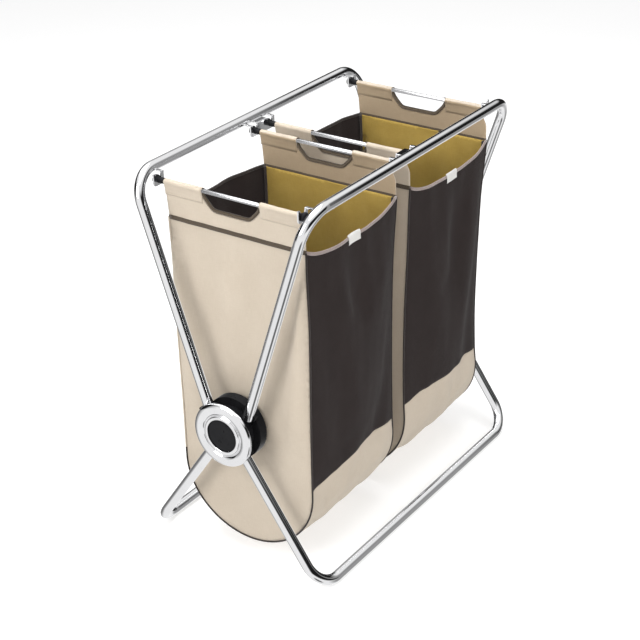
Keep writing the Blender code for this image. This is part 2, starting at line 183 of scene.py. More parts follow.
def cloth_material(name, dark, light, pitch, sheen=0.25, mottling=0.10):
    """Plain-woven cloth of a thread pitch in metres. The piece's UV map is in metres of cloth."""
    made, tree, shader = new_material(name)
    uv = node(tree, "ShaderNodeUVMap", uv_map="cloth").outputs["UV"]
    split = node(tree, "ShaderNodeSeparateXYZ", {"Vector": uv})
    turns = 2 * math.pi / pitch
    across = math_node(tree, "SINE", times(tree, split.outputs["X"], turns))
    along = math_node(tree, "SINE", times(tree, split.outputs["Y"], turns))
    threads = times(tree, across, along)
    slub_u = noise_at(tree, stretched(tree, uv, (900.0, 60.0, 1.0)), 1.0)
    slub_v = noise_at(tree, stretched(tree, uv, (60.0, 900.0, 1.0)), 1.0)
    slubs = plus(tree, slub_u, slub_v)
    patches = noise_at(tree, uv, 14.0, 4.0, 0.6)
    tone = times(tree, ramp(tree, slubs, 0.6, 1.4, -0.5, 0.5), WEAVE_CONTRAST)
    tone = plus(tree, tone, ramp(tree, patches, 0.3, 0.7, -mottling, mottling))
    tone = plus(tree, tone, times(tree, threads, 0.10))
    tone = plus(tree, tone, 0.5)
    height = plus(tree, times(tree, threads, 0.5), times(tree, slubs, 0.8))
    fuzz = noise_at(tree, uv, 240.0, 3.0, 0.6)
    height = plus(tree, height, times(tree, fuzz, 0.6))
    woven = bump(tree, 0.35, 0.0006, height)
    creases = noise_at(tree, stretched(tree, uv, (26.0, 13.0, 1.0)), 1.0, 4.0, 0.55)
    feed(tree, shader, {
        "Base Color": mix_colour(tree, tone, dark, light),
        "Normal": bump(tree, 0.22, 0.006, creases, Normal=woven),
        "Roughness": CLOTH_ROUGH, "Sheen Weight": sheen, "Sheen Roughness": 0.45,
        "Specular IOR Level": 0.25,
    })
    made.diffuse_color = (*light, 1.0)
    return made


def metal_material(name, colour, rough, streaks, brushed=0.0):
    """Plated or polished steel with faint wipe marks."""
    made, tree, shader = new_material(name)
    place = node(tree, "ShaderNodeTexCoord").outputs["Object"]
    wipe = noise_at(tree, stretched(tree, place, (9.0, 26.0, 26.0)), 1.0, 5.0, 0.6)
    fine = noise_at(tree, place, 420.0)
    level = plus(tree, ramp(tree, wipe, 0.35, 0.75, 0.0, streaks), rough)
    worn = tuple(0.94 * c for c in colour)
    feed(tree, shader, {
        "Roughness": plus(tree, level, times(tree, fine, 0.02 + brushed)),
        "Base Color": mix_colour(tree, ramp(tree, wipe, 0.3, 0.8), colour, worn),
        "Normal": bump(tree, 0.05 + brushed, 0.0002, fine),
        "Metallic": 1.0,
    })
    made.diffuse_color = (*colour, 1.0)
    return made


def plastic_material(name, colour, rough, grain, shine):
    """Moulded plastic with a fine spark-eroded grain."""
    made, tree, shader = new_material(name)
    place = node(tree, "ShaderNodeTexCoord").outputs["Object"]
    cells = node(tree, "ShaderNodeTexVoronoi", {"Vector": place, "Scale": 1500.0}).outputs["Distance"]
    cloud = noise_at(tree, place, 60.0, 4.0)
    feed(tree, shader, {
        "Roughness": ramp(tree, cloud, 0.3, 0.7, rough - 0.05, rough + 0.09),
        "Base Color": mix_colour(tree, cloud, colour, tuple(1.5 * c + 0.002 for c in colour)),
        "Normal": bump(tree, grain, 0.0002, cells),
        "Specular IOR Level": shine,
    })
    made.diffuse_color = (*colour, 1.0)
    return made


CHROME = metal_material("chrome_plate", (0.86, 0.86, 0.87), 0.035, 0.05)
STEEL = metal_material("rod_plate", (0.52, 0.52, 0.53), 0.18, 0.10, 0.05)
HUB_BLACK = plastic_material("hub_plastic", (0.008, 0.008, 0.009), 0.30, 0.10, 0.08)
CAP_BLACK = plastic_material("cap_plastic", (0.008, 0.008, 0.009), 0.38, 0.20, 0.10)
CANVAS_PITCH = 0.0011
TAPE_PITCH = 0.0012
THREAD_PITCH = 0.0008
CANVAS = cloth_material("canvas", (0.445, 0.372, 0.290), (0.590, 0.520, 0.428), CANVAS_PITCH, 0.12)
# the canvas's inner face, a darker copy of the canvas: the shade inside the bag is painted into its
# colour
CANVAS_INSIDE_SHADED = cloth_material(
    "canvas_inside_painted_shade", (0.33, 0.245, 0.158), (0.44, 0.345, 0.233), CANVAS_PITCH, 0.10,
)
DARK_CLOTH = cloth_material(
    "dark_cloth", (0.0135, 0.0092, 0.0086), (0.031, 0.0225, 0.0213), CANVAS_PITCH, 0.03,
)
GOLD = cloth_material("gold_lining", (0.31, 0.20, 0.038), (0.48, 0.335, 0.082), 0.0009, 0.1, 0.2)
BAND = cloth_material("band_tape", (0.044, 0.032, 0.021), (0.105, 0.079, 0.053), TAPE_PITCH)
# a lighter copy of the dark edge tape: painted sheen for the front top edges, which catch the light
LIT_EDGE_TAPE = cloth_material("edge_tape_painted_sheen", (0.20, 0.155, 0.14), (0.34, 0.27, 0.25), TAPE_PITCH, 0.6)
PIPING = cloth_material("piping", (0.016, 0.012, 0.011), (0.042, 0.032, 0.029), TAPE_PITCH)
LABEL = cloth_material("label_tape", (0.60, 0.585, 0.56), (0.76, 0.745, 0.72), 0.0007, mottling=0.04)
THREAD_LIGHT = cloth_material("thread_light", (0.60, 0.50, 0.38), (0.78, 0.69, 0.56), THREAD_PITCH)
THREAD_DARK = cloth_material("thread_dark", (0.03, 0.024, 0.022), (0.07, 0.056, 0.05), THREAD_PITCH)


# ---- mesh helpers
def bare_object(name, points, faces):
    mesh = bpy.data.meshes.new(name)
    mesh.from_pydata([tuple(p) for p in points], [], [tuple(int(i) for i in f) for f in faces])
    made = bpy.data.objects.new(name, mesh)
    bpy.context.scene.collection.objects.link(made)
    return made


def make_piece(name, points, faces, skin, body, slot_name, uvs=None, replaced=None):
    """A shown piece: its mesh, its UV map in metres of cloth, its body and the node it stands for."""
    made = bare_object(name, points, faces)
    mesh = made.data
    mesh.validate()
    layer = mesh.uv_layers.new(name="cloth")
    if uvs is not None:
        flat = np.asarray(uvs, float)
        at = np.zeros(len(mesh.loops), np.int32)
        mesh.loops.foreach_get("vertex_index", at)
        layer.data.foreach_set("uv", flat[at].astype(np.float32).ravel())
    mesh.polygons.foreach_set("use_smooth", [True] * len(mesh.polygons))
    mesh.materials.append(skin)
    # the chrome mirrors the studio and the other hard parts, not the cloth
    made.visible_glossy = skin in (CHROME, STEEL, HUB_BLACK, CAP_BLACK)
    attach(made, body)
    if replaced:
        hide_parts(replaced)
    return made


def grid_faces(rows, columns, wrap=False):
    """Quads of a grid of points stored row by row. With wrap, each row closes on itself."""
    faces = []
    for i in range(rows - 1):
        for j in range(columns if wrap else columns - 1):
            a, b = i * columns + j, i * columns + (j + 1) % columns
            faces.append((a, b, b + columns, a + columns))
    return faces


def tube_faces(rows, columns):
    """Faces of a closed tube of rings stored one after another. The last two are its caps."""
    first, last = range(columns), range((rows - 1) * columns, rows * columns)
    return grid_faces(rows, columns, wrap=True) + [tuple(first)[::-1], tuple(last)]


def flat_caps(made):
    for cap in (-1, -2):
        made.data.polygons[cap].use_smooth = False


def outward(made):
    """Turns a closed piece's faces to point out."""
    bm = bmesh.new()
    bm.from_mesh(made.data)
    bmesh.ops.recalc_face_normals(bm, faces=bm.faces)
    bm.to_mesh(made.data)
    bm.free()
    return made


def lathe_points(profile, origin, axis, steps):
    """A closed profile of (radius, distance) turned about an axis. A radius of 0 makes a pole."""
    turn = Vector((0, 0, 1)).rotation_difference(Vector(axis).normalized()).to_matrix()
    points, rings, faces = [], [], []
    for radius, distance in profile:
        ring = []
        count = 1 if radius < 1e-9 else steps
        for i in range(count):
            angle = 2 * math.pi * i / steps
            local = Vector((radius * math.cos(angle), radius * math.sin(angle), distance))
            ring.append(len(points))
            points.append(Vector(origin) + turn @ local)
        rings.append(ring)
    for a, b in zip(rings, rings[1:] + rings[:1]):
        if len(a) == 1 and len(b) == 1:
            continue
        for i in range(steps):
            j = (i + 1) % steps
            face = [a[i % len(a)], a[j % len(a)], b[j % len(b)], b[i % len(b)]]
            faces.append(tuple(dict.fromkeys(face)))
    return points, faces


def cylinder(radius, start, end):
    """A plain cylinder's profile for lathe_points."""
    return [(0, start), (radius, start), (radius, end), (0, end)]


def lathe(node_name, suffix, profile, origin, axis, skin, body, slot_name, steps):
    """A turned piece that stands for a CAD node."""
    points, faces = lathe_points(profile, origin, axis, steps)
    made = make_piece(node_name + suffix, points, faces, skin, body, slot_name, replaced=node_name)
    return outward(made)


def soften(made, width):
    """Rounds a hard piece's edges and shades it smooth between them."""
    rounding = made.modifiers.new("rounding", "BEVEL")
    rounding.width = width
    rounding.segments = 3
    rounding.limit_method = "ANGLE"
    rounding.angle_limit = math.radians(25)
    rounding.harden_normals = True


def rounded_path(corners, radius, steps):
    """A path through corners with round bends, as points."""
    out = [Vector(corners[0])]
    for before, corner, after in zip(corners, corners[1:], corners[2:]):
        before, corner, after = Vector(before), Vector(corner), Vector(after)
        inward, onward = (before - corner).normalized(), (after - corner).normalized()
        half = inward.angle(onward) / 2
        centre = corner + (inward + onward).normalized() * radius / math.sin(half)
        first = corner + inward * radius / math.tan(half) - centre
        last = corner + onward * radius / math.tan(half) - centre
        axis = first.cross(last).normalized()
        sweep_angle = first.angle(last)
        for i in range(steps + 1):
            out.append(centre + Matrix.Rotation(sweep_angle * i / steps, 3, axis) @ first)
    out.append(Vector(corners[-1]))
    return out


def with_end_rings(path, near=0.002, long=0.03):
    """Adds points near both ends of a path's long straights, so only the bends shade as bends."""
    out = [path[0]]
    for a, b in zip(path, path[1:]):
        span = (b - a).length
        if span > long:
            out += [a.lerp(b, near / span), a.lerp(b, 1 - near / span)]
        out.append(b)
    return out


def sweep(path, section, side=None):
    """Sweeps a closed section of (across, out) points along a path.

    side is the across direction; without it the section turns as little as it can.
    Returns points, faces with both ends capped, and UVs in metres.
    """
    path = [Vector(p) for p in path]
    count, width = len(path), len(section)
    points, uvs = [], []
    travelled = 0.0
    across = None
    around = [0.0]
    for a, b in zip(section, section[1:]):
        around.append(around[-1] + math.dist(a, b))
    for i, spot in enumerate(path):
        ahead = path[min(i + 1, count - 1)] - path[max(i - 1, 0)]
        ahead.normalize()
        if side is not None:
            across = Vector(side)
        elif across is None:
            across = ahead.orthogonal()
        across = (across - ahead * across.dot(ahead)).normalized()
        out = ahead.cross(across)
        if i:
            travelled += (spot - path[i - 1]).length
        for (u, v), w in zip(section, around):
            points.append(spot + across * u + out * v)
            uvs.append((w, travelled))
    return points, tube_faces(count, width), uvs


def circle(radius, steps):
    turns = [2 * math.pi * i / steps for i in range(steps)]
    return [(radius * math.cos(turn), radius * math.sin(turn)) for turn in turns]


def rounded_strip(half_width, half_thick, steps=3):
    """A flat tape's section with round edges, (across, out)."""
    out = []
    bend = half_thick
    for quarter, (sx, sy) in enumerate(((1, 1), (-1, 1), (-1, -1), (1, -1))):
        for i in range(steps + 1):
            angle = math.pi / 2 * (quarter + i / steps)
            out.append((
                sx * (half_width - bend) + bend * math.cos(angle),
                sy * (half_thick - bend) + bend * math.sin(angle),
            ))
    return out


def swept_piece(name, path, section, skin, body, slot_name, side=None, replaced=None):
    points, faces, uvs = sweep(path, section, side)
    made = make_piece(name, points, faces, skin, body, slot_name, uvs, replaced)
    flat_caps(made)
    return outward(made)


def prism(base, top):
    """Points and faces between two outlines of as many points each."""
    count = len(base)
    faces = [tuple(range(count))[::-1], tuple(range(count, 2 * count))]
    faces += [(i, (i + 1) % count, count + (i + 1) % count, count + i) for i in range(count)]
    return [*base, *top], faces


def combine(made, operation, others):
    """Joins other solids to a piece (UNION) or cuts them out of it (DIFFERENCE), and removes them."""
    for other in others:
        step = made.modifiers.new("combine", "BOOLEAN")
        step.operation = operation
        step.solver = "EXACT"
        step.object = other
    bpy.context.view_layer.update()
    shown = made.evaluated_get(bpy.context.evaluated_depsgraph_get())
    result = bpy.data.meshes.new_from_object(shown)
    made.modifiers.clear()
    made.data = result
    for other in others:
        bpy.data.objects.remove(other, do_unlink=True)


def solid(points, faces):
    """A bare closed object for joining or cutting."""
    return outward(bare_object("cutter", points, faces))


# ---- the tube frame
def leg_line(corner_y, corner_z, lean):
    """A leg's direction away from the pivot, and its line's point nearest to the pivot."""
    up = 1 if corner_z > PIVOT_Z else -1
    out = Vector((0, math.copysign(math.sin(lean), corner_y), up * math.cos(lean)))
    corner = Vector((0, corner_y, corner_z))
    pivot = Vector((0, 0, PIVOT_Z))
    return out, corner + out * (pivot - corner).dot(out)


# each leg pair: its rail's y and z, its lean, and where the tube starts along the leg
REAR_UPPER = (RAIL_Y, RAIL_Z, UPPER_LEAN, 0.014)
REAR_LOWER = (-FLOOR_Y, FLOOR_RAIL_Z, LOWER_LEAN, 0.020)
FRONT_UPPER = (-RAIL_Y, RAIL_Z, UPPER_LEAN, 0.0470)
FRONT_LOWER = (FLOOR_Y, FLOOR_RAIL_Z, LOWER_LEAN, 0.0500)
TUBES = (
    ("rear_top_tube", REAR_LOOP_X, REAR_UPPER, "rear_frame"),
    ("front_floor_tube", REAR_LOOP_X, REAR_LOWER, "rear_frame"),
    ("front_top_tube", FRONT_LOOP_X, FRONT_UPPER, "front_frame"),
    ("rear_floor_tube", FRONT_LOOP_X, FRONT_LOWER, "front_frame"),
)
for tube, loop_x, (rail_y, rail_z, lean, start), body in TUBES:
    out, foot = leg_line(rail_y, rail_z, lean)
    end = foot + out * start
    corners = [(-loop_x, end.y, end.z), (-loop_x, rail_y, rail_z)]
    corners += [(-x, y, z) for x, y, z in corners[::-1]]
    path = with_end_rings(rounded_path(corners, BEND_R, 18))
    swept_piece(tube + "_bent", path, circle(TUBE_R, 40), CHROME, body, "chrome", replaced=tube)


# ---- hubs
def leg_socket(side, leg, loop_x):
    """A cutter for a tube's end in a hub."""
    out, foot = leg_line(*leg[:3])
    start = Vector((side * loop_x, 0, 0)) + foot + out * (leg[3] - SOCKET_GAP)
    return solid(*lathe_points(cylinder(TUBE_R + SOCKET_GAP, 0, SOCKET_DEEP), start, out, 48))


def leg_lug(side, leg, first, last, near, far, width=0.028):
    """A block of a hub round a tube's end."""
    out, foot = leg_line(*leg[:3])
    across = Vector((0, -out.z, out.y))
    ends = []
    for x in (side * near, side * far):
        ends.append([])
        for distance, w in ((first, -1), (last, -1), (last, 1), (first, 1)):
            spot = foot + out * distance + across * w * width / 2
            ends[-1].append(Vector((x, spot.y, spot.z)))
    return solid(*prism(*ends))


def hub_ring_profile():
    """The plated ring's face: its edge, its round rim, a groove, and a bezel over the button's edge."""
    ring = [(RING_BORE_R, RING_IN), (RING_R - 0.0008, RING_IN), (RING_R, RING_IN + 0.0008)]
    for i in range(22):
        angle = math.radians(i * 180 / 21 * 0.93)
        height = RING_OUT - RIM_RISE + RIM_RISE * math.sin(angle) ** 0.8
        ring.append((RIM_CENTRE_R + RIM_HALF * math.cos(angle), height))
    for radius, below in (
        (0.0429, 0.0058), (0.0413, 0.0058), (0.0409, 0.0034), (0.0402, 0.0019), (0.0391, 0.0012),
        (0.0374, 0.0009), (0.0352, 0.0009), (0.0339, 0.0013), (0.0334, 0.0019), (0.0337, 0.0022),
        (RING_BORE_R, 0.0022),
    ):
        ring.append((radius, RING_OUT - below))
    return ring


BUTTON_PROFILE = [
    (0, 0.3745), (0.0074, 0.3745), (0.0074, BUTTON_IN), (BUTTON_R - 0.0004, BUTTON_IN),
    (BUTTON_R, BUTTON_IN + 0.0004), (BUTTON_R, BUTTON_IN + 0.0014),
    (BUTTON_R - 0.0014, BUTTON_IN + 0.0026), (BUTTON_R - 0.0060, BUTTON_OUT - 0.0003),
    (BUTTON_R - 0.0085, BUTTON_OUT), (0.0185, BUTTON_OUT - 0.0006), (0.010, BUTTON_OUT - 0.0013),
    (0, BUTTON_OUT - 0.0016),
]
DISC_PROFILE = [
    (0, DISC_IN), (DISC_R - 0.003, DISC_IN), (DISC_R, DISC_IN + 0.003), (DISC_R, DISC_OUT),
    (0, DISC_OUT),
]
BOLT_PROFILE = [
    (0, 0.3275), (BOLT_HEAD_R - 0.0007, 0.3275), (BOLT_HEAD_R, 0.3282), (BOLT_HEAD_R, 0.3326),
    (BOLT_R, 0.3326), (BOLT_R, 0.3497), (0, 0.3497),
]
PIVOT = Vector((0, 0, PIVOT_Z))
for side, end_name in ((-1, "left"), (1, "right")):
    axis = (side, 0, 0)

    def on_axis(profile, steps):
        """A bare turned solid on this hub's axis."""
        return solid(*lathe_points(profile, PIVOT, axis, steps))

    housing = lathe(
        f"{end_name}_hub_housing", "_moulded", cylinder(HOUSING_R, HOUSING_IN, HOUSING_OUT),
        PIVOT, axis, HUB_BLACK, "rear_frame", "hub_plastic", 72,
    )
    combine(housing, "UNION", (
        leg_lug(side, REAR_UPPER, 0.015, 0.056, HOUSING_LUG_IN, HOUSING_OUT),
        leg_lug(side, REAR_LOWER, 0.015, 0.061, HOUSING_LUG_IN, HOUSING_OUT),
    ))
    stem_hole = on_axis(cylinder(0.008, 0.3705, 0.39), 32)
    combine(housing, "DIFFERENCE", (
        leg_socket(side, REAR_UPPER, REAR_LOOP_X), leg_socket(side, REAR_LOWER, REAR_LOOP_X),
        stem_hole,
    ))
    soften(housing, 0.0012)
    lathe(
        f"{end_name}_hub_ring", "_plated", hub_ring_profile(),
        PIVOT, axis, CHROME, "rear_frame", "chrome", 128,
    )
    lathe(
        f"{end_name}_hub_button", "_moulded", BUTTON_PROFILE,
        PIVOT, axis, HUB_BLACK, f"{end_name}_button", "hub_plastic", 72,
    )
    disc = lathe(
        f"{end_name}_hub_disc", "_moulded", DISC_PROFILE,
        PIVOT, axis, HUB_BLACK, "front_frame", "hub_plastic", 96,
    )
    combine(disc, "UNION", (
        leg_lug(side, FRONT_UPPER, 0.0485, 0.058, DISC_LUG_IN, FRONT_LOOP_X),
        leg_lug(side, FRONT_LOWER, 0.0510, 0.062, DISC_LUG_IN, FRONT_LOOP_X),
    ))
    bore = on_axis(cylinder(BOLT_BORE_R, 0.32, 0.36), 32)
    recess = on_axis(cylinder(BOLT_RECESS_R, 0.32, BOLT_RECESS_END), 48)
    combine(disc, "DIFFERENCE", (
        leg_socket(side, FRONT_UPPER, FRONT_LOOP_X), leg_socket(side, FRONT_LOWER, FRONT_LOOP_X),
        bore, recess,
    ))
    soften(disc, 0.0012)
    bolt = lathe(
        f"{end_name}_pivot_bolt", "_turned", BOLT_PROFILE,
        PIVOT, axis, STEEL, "rear_frame", "steel", 48,
    )
    hexagon = [[(side * x, y, PIVOT_Z + z) for y, z in circle(HEX_R, 6)] for x in (0.3265, 0.3305)]
    combine(bolt, "DIFFERENCE", (solid(*prism(*hexagon)),))
    soften(bolt, 0.0003)


# ---- the notched plates under the rails
def plate_outline(rods):
    """A plate's (x, z) outline: round lower corners, and a notch open at the top for each rod."""
    low_x, high_x = min(rods) - PLATE_HALF, max(rods) + PLATE_HALF
    out = []
    for centre_x, start in ((low_x + PLATE_CORNER, 180), (high_x - PLATE_CORNER, 270)):
        for i in range(7):
            angle = math.radians(start + 15 * i)
            out.append((
                centre_x + PLATE_CORNER * math.cos(angle),
                PLATE_LOW + PLATE_CORNER + PLATE_CORNER * math.sin(angle),
            ))
    out.append((high_x, PLATE_TOP))
    for rod_x in sorted(rods, reverse=True):
        out += [(rod_x + NOTCH_MOUTH, PLATE_TOP), (rod_x + NOTCH_R, ROD_Z + 0.003)]
        for i in range(17):
            turn = -math.pi * i / 16
            out.append((rod_x + NOTCH_R * math.cos(turn), ROD_Z + NOTCH_R * math.sin(turn)))
        out += [(rod_x - NOTCH_R, ROD_Z + 0.003), (rod_x - NOTCH_MOUTH, PLATE_TOP)]
    out.append((low_x, PLATE_TOP))
    return out


BOX_FACES = [(0, 1, 3, 2), (4, 6, 7, 5), (0, 4, 5, 1), (2, 3, 7, 6), (0, 2, 6, 4), (1, 5, 7, 3)]


def plate_ears(rods, side, near, at_end):
    """The tabs between the notches that reach under the rail. Those past the bend are left out."""
    edges = [min(rods) - PLATE_HALF]
    for rod_x in sorted(rods):
        edges += [rod_x - NOTCH_MOUTH, rod_x + NOTCH_MOUTH]
    edges.append(max(rods) + PLATE_HALF)
    ears = []
    for left, right in zip(edges[::2], edges[1::2]):
        if at_end and max(abs(left), abs(right)) > EAR_LIMIT_X:
            continue
        corners = [
            (x, side * y, z) for x in (left, right) for y in (near + 0.001, PLATE_REACH)
            for z in (PLATE_TOP - EAR_THICK, PLATE_TOP)
        ]
        ears.append(solid(corners, BOX_FACES))
    return ears


rod_xs = [x + s * ROD_SPREAD for x in BAG_X for s in (-1, 1)]
for side, face, body in ((1, "rear", "rear_frame"), (-1, "front", "front_frame")):
    near, far = PLATES[side]
    for place, rods in (("left", rod_xs[:1]), ("middle", rod_xs[1:3]), ("right", rod_xs[3:])):
        plate_name = f"{face}_plate_{place}"
        layers = ([(x, side * y, z) for x, z in plate_outline(rods)] for y in (near, far))
        plate = outward(make_piece(
            plate_name + "_pressed", *prism(*layers), CHROME, body, "chrome", replaced=plate_name,
        ))
        combine(plate, "UNION", plate_ears(rods, side, near, place != "middle"))
        soften(plate, 0.0006)


# ---- bags
COLUMNS = 31
SIDE_ROWS = 46
ARC_ROWS = 44
PANEL_STEP = 0.0105
ROW_RATIO = 0.866
EDGE_CLEAR = 0.0062
HUB_CLEAR = 0.0016
CLOTH_THICK = 0.0014
LINING_THICK = 0.0007
LINING_IN = 0.0019
WIDTH = 2 * ROD_SPREAD
HEADER_TOP = ROD_Z - 0.006
HANG_FRAMES = 24
HANG_SETTINGS = {
    "vertex_group_mass": "rods", "quality": 5, "mass": 0.03, "air_damping": 6.0,
    "tension_stiffness": 22, "compression_stiffness": 22, "shear_stiffness": 12,
    "bending_stiffness": 3.0, "shrink_min": -0.010,
    "use_pressure": True, "uniform_pressure_force": 0.10,
}
HANG_LIMIT = 0.010
FREE_BELOW_Z = 0.665
FREE_FADE = 0.12
LEAST_FREE = 0.06


def bag_profile():
    """(y, z, outward y, outward z) down the front, under the belly and up the rear."""
    rows = []
    for i in range(SIDE_ROWS):
        rows.append((BODY_MID_Y - BODY_HALF, TOP_Z - (TOP_Z - BELLY_Z) * i / SIDE_ROWS, -1.0, 0.0))
    for i in range(ARC_ROWS + 1):
        turn = math.pi + math.pi * i / ARC_ROWS
        out_y, out_z = math.cos(turn), math.sin(turn)
        y, z = BODY_MID_Y + BODY_HALF * out_y, BELLY_Z + (BELLY_Z - BOTTOM_Z) * out_z
        rows.append((y, z, out_y, out_z))
    for i in range(SIDE_ROWS - 1, -1, -1):
        rows.append((BODY_MID_Y + BODY_HALF, TOP_Z - (TOP_Z - BELLY_Z) * i / SIDE_ROWS, 1.0, 0.0))
    return np.array(rows)


PROFILE = bag_profile()
ROWS = len(PROFILE)
SEAM_ROW = round((TOP_Z - SEAM_Z) / (TOP_Z - BELLY_Z) * SIDE_ROWS)


def hump(value, middle, spread):
    return math.exp(-(((value - middle) / spread) ** 2))


def fold_noise(a, b, seed, wide, tall):
    """Soft folds that run mostly downward: about -1 to 1."""
    coarse = noise.noise(Vector((a / wide, b / tall, seed)))
    return coarse + 0.5 * noise.noise(Vector((2.3 * a / wide, 2.1 * b / tall, seed + 7.7)))


# how far each vertical corner seam is drawn in halfway down: front near, front far, rear near,
# rear far
DRAWN_IN = {"left_bag": (0.001, 0.015, 0.007, 0.008), "right_bag": (0.014, 0.021, 0.008, 0.008)}
# how far the front seam above the belly rises above its level: near corner, middle, far corner
SEAM_RISE = {"left_bag": (-0.002, 0.023, 0.006), "right_bag": (0.014, 0.027, 0.010)}


def wrap_rest(bag, near_x, seed):
    """The front, belly and rear cloth as sewn, before it hangs: rows of columns of points."""
    grid = np.zeros((ROWS, COLUMNS, 3))
    pinches = DRAWN_IN[bag]
    rise_near, rise_mid, rise_far = SEAM_RISE[bag]
    for r, (y, z, ny, nz) in enumerate(PROFILE):
        front = y < BODY_MID_Y
        near_pinch, far_pinch = pinches[:2] if front else pinches[2:]
        depth = TOP_Z - z
        if nz == 0:
            swell = 0.0075 + 0.0075 * math.sin(math.pi * min(1.0, depth / 0.50))
            drawn = math.sin(math.pi * depth / 0.75)
        else:
            swell = 0.0055
            drawn = 0.866 * (1 - abs(nz)) ** 2
        for c in range(COLUMNS):
            s = c / (COLUMNS - 1)
            t = 2 * s - 1
            mid = 1 - abs(t) ** 3.0
            pinch = (near_pinch * (1 - s) + far_pinch * s) * drawn
            fold = fold_noise(s * WIDTH, z, seed + (0.0 if front else 31.0), 0.055, 0.34)
            push = swell * mid - pinch * (1 - 0.7 * mid) + 0.0042 * fold * (1 - abs(t) ** 6)
            if nz != 0:
                wrinkle = fold_noise(s * WIDTH, r * 0.011, seed + 3.3, 0.07, 0.05)
                push += 0.0034 * wrinkle * (1 - abs(t) ** 4)
            drop = 0.0
            if front:
                dip = 0.007 * (1 - abs(t) ** (10 if t < 0 else 3)) + 0.012 * (1 - abs(t) ** 3)
                drop -= dip * math.exp(-depth / 0.10)
                rise = rise_near * (1 - s) + rise_far * s
                rise += (rise_mid - (rise_near + rise_far) / 2) * (1 - t * t)
                drop += rise * hump(z, SEAM_Z, 0.09)
            else:
                drop += 0.006 * (1 - t * t) * math.exp(-depth / 0.08)
                drop += 0.010 * (1 - t * t) * hump(z, SEAM_Z, 0.09)
            grid[r, c] = (near_x + s * WIDTH, y + ny * push, z + nz * push + drop)
    return grid


def eased_step(value, low, high):
    """0 below low, 1 above high and smooth between."""
    f = min(1.0, max(0.0, (value - low) / (high - low)))
    return f * f * (3 - 2 * f)


def end_relief(y, z, seed, by_hub):
    """How far an end's cloth stands out of its plane."""
    u = (y - BODY_MID_Y) / BODY_HALF
    inside = max(0.0, 1 - u ** 4) * eased_step(z, 0.05, 0.12) * (1 - eased_step(z, 0.64, 0.74))
    bow = -0.0045 * math.sin(math.pi * min(1.0, max(0.0, (TOP_Z - z) / 0.62)))
    fold = 0.0030 * fold_noise(y, z, seed, 0.050, 0.34)
    fold += 0.0018 * fold_noise(y + 0.3 * z, z, seed + 6.0, 0.11, 0.09)
    relief = (bow + fold) * inside
    if not by_hub:
        return relief
    # creases run from the two top corners down to the hub, with a flat between them
    fade = eased_step(z, 0.25, 0.36) * (1 - eased_step(z, 0.60, 0.69))
    rear_crease = 0.060 + 0.26 * (z - 0.36)
    front_crease = -0.058 - 0.30 * (z - 0.36)
    rear_edge, front_edge = BODY_MID_Y + BODY_HALF, BODY_MID_Y - BODY_HALF
    if y > rear_crease:
        across = min(1.0, (y - rear_crease) / (rear_edge - rear_crease))
        relief += 0.0175 * fade * math.sin(math.pi * across ** 0.8)
    elif y < front_crease:
        across = min(1.0, (front_crease - y) / (front_crease - front_edge))
        relief += fade * (
            0.0100 * math.sin(math.pi * across) - 0.0100 * math.sin(2 * math.pi * across)
        )
    else:
        across = (2 * y - rear_crease - front_crease) / (rear_crease - front_crease)
        relief -= 0.0040 * fade * (1 - across * across)
    from_hub = math.hypot(y, z - PIVOT_Z)
    near_hub = 1 - eased_step(from_hub, DISC_R, DISC_R + 0.030)
    return relief * (1 - near_hub) + min(relief, 0.0) * near_hub


def handle_outline():
    """The handle opening's edge from the rear sleeve round to the front sleeve, (y, z)."""
    corners = [
        (HANDLE_TOP, HEADER_TOP), (HANDLE_TOP - 0.002, HEADER_TOP - 0.006),
        (HANDLE_LOW + 0.004, HANDLE_Z),
    ]
    corners += [(-y, z) for y, z in corners[::-1]]
    path = rounded_path([Vector((0, y, z)) for y, z in corners[1:-1]], 0.017, 7)
    points = [Vector((0, *corners[0]))] + path + [Vector((0, *corners[-1]))]
    spaced_out = [points[0]]
    for spot in points[1:]:
        gap = (spot - spaced_out[-1]).length
        if gap > 0.012:
            for k in range(1, round(gap / 0.008)):
                spaced_out.append(spaced_out[-1].lerp(spot, 1 / (round(gap / 0.008) - k + 1)))
        if gap > 0.002:
            spaced_out.append(spot)
    return [(p.y, p.z) for p in spaced_out]


HANDLE = handle_outline()


def straight(a, b, step=0.010):
    """Points from a to b, both left out."""
    count = max(1, round(math.dist(a, b) / step))
    return [tuple(u + (v - u) * i / count for u, v in zip(a, b)) for i in range(1, count)]


